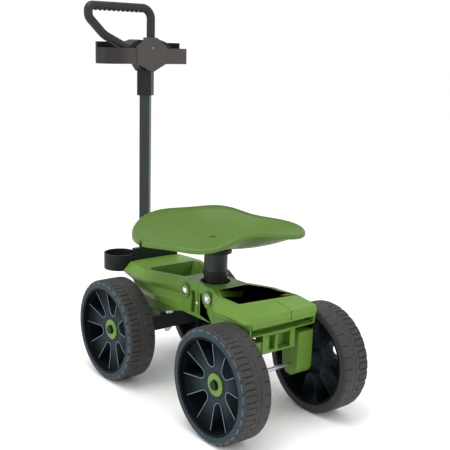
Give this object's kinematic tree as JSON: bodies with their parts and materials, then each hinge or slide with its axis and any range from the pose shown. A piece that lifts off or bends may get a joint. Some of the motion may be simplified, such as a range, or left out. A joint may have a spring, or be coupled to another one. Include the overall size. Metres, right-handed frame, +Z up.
{
  "type": "rolling garden seat",
  "caption": "Four-wheeled rolling garden seat with a swivelling dished seat, tool trays, a cup holder and a steering handle with tool holder and D grip.",
  "frame": {"origin": "on the floor under the centre of the object, midway between the axles", "axes": "+X to the rear, +Y to the rider's right, +Z up"},
  "size_m": [0.683, 0.3612, 0.9259],
  "materials": {
    "green_plastic": "moulded satin",
    "black_plastic": "moulded satin",
    "wheel_plastic": "moulded satin",
    "tread": "hard moulded tread",
    "painted_tube": "powder coat",
    "steel": "zinc plated"
  },
  "bodies": {
    "chassis": {"front_tray_moulding": "green_plastic", "rear_tray_moulding": "green_plastic", "stem_base": "black_plastic", "seat_stem": "black_plastic", "chassis_bolts": "steel", "chassis_washers": "steel", "chassis_nuts": "steel", "front_crossbar": "black_plastic", "cup_holder": "black_plastic", "crossbar_screws": "steel", "stem_screws": "steel", "kingpin": "steel", "kingpin_nut": "steel", "rear_axle": "steel", "rear_axle_spacers": "steel", "rear_axle_caps": "black_plastic"},
    "steering": {"steering_beam": "black_plastic", "steering_washer": "steel", "front_axle": "steel", "front_axle_spacers": "steel", "front_axle_caps": "black_plastic", "handle_tube": "painted_tube", "tube_bolts": "painted_tube", "handle_socket": "black_plastic", "tool_holder_rear": "black_plastic", "tool_holder_front": "black_plastic", "tool_holder_screw": "steel", "handle_grip": "black_plastic"},
    "seat_height": {"seat_sleeve": "black_plastic", "sleeve_collar": "black_plastic"},
    "seat": {"seat_shell": "green_plastic", "seat_hub": "black_plastic", "seat_spindle": "steel", "spindle_clip": "steel"},
    "front_left_wheel": {"front_left_wheel_centre": "wheel_plastic", "front_left_tyre": "tread", "front_left_hub_ring": "green_plastic", "front_left_hub_bush": "black_plastic"},
    "front_right_wheel": {"front_right_wheel_centre": "wheel_plastic", "front_right_tyre": "tread", "front_right_hub_ring": "green_plastic", "front_right_hub_bush": "black_plastic"},
    "rear_left_wheel": {"rear_left_wheel_centre": "wheel_plastic", "rear_left_tyre": "tread", "rear_left_hub_ring": "green_plastic", "rear_left_hub_bush": "black_plastic"},
    "rear_right_wheel": {"rear_right_wheel_centre": "wheel_plastic", "rear_right_tyre": "tread", "rear_right_hub_ring": "green_plastic", "rear_right_hub_bush": "black_plastic"}
  },
  "joints": [
    {"name": "steering_turn", "type": "hinge", "parent": "chassis", "child": "steering", "pos_m": [-0.198, 0, 0.16], "axis": [0, 0, 1], "range_deg": [-11, 11]},
    {"name": "seat_lift", "type": "slide", "parent": "chassis", "child": "seat_height", "axis": [0, 0, 1], "range_m": [0, 0.015]},
    {"name": "seat_swivel", "type": "hinge", "parent": "seat_height", "child": "seat", "pos_m": [0.003, 0, 0.35], "axis": [0, 0, 1], "continuous": true},
    {"name": "front_left_spin", "type": "hinge", "parent": "steering", "child": "front_left_wheel", "pos_m": [-0.2145, 0, 0.127], "axis": [0, 1, 0], "continuous": true},
    {"name": "front_right_spin", "type": "hinge", "parent": "steering", "child": "front_right_wheel", "pos_m": [-0.2145, 0, 0.127], "axis": [0, 1, 0], "continuous": true},
    {"name": "rear_left_spin", "type": "hinge", "parent": "chassis", "child": "rear_left_wheel", "pos_m": [0.2145, 0, 0.127], "axis": [0, 1, 0], "continuous": true},
    {"name": "rear_right_spin", "type": "hinge", "parent": "chassis", "child": "rear_right_wheel", "pos_m": [0.2145, 0, 0.127], "axis": [0, 1, 0], "continuous": true}
  ]
}
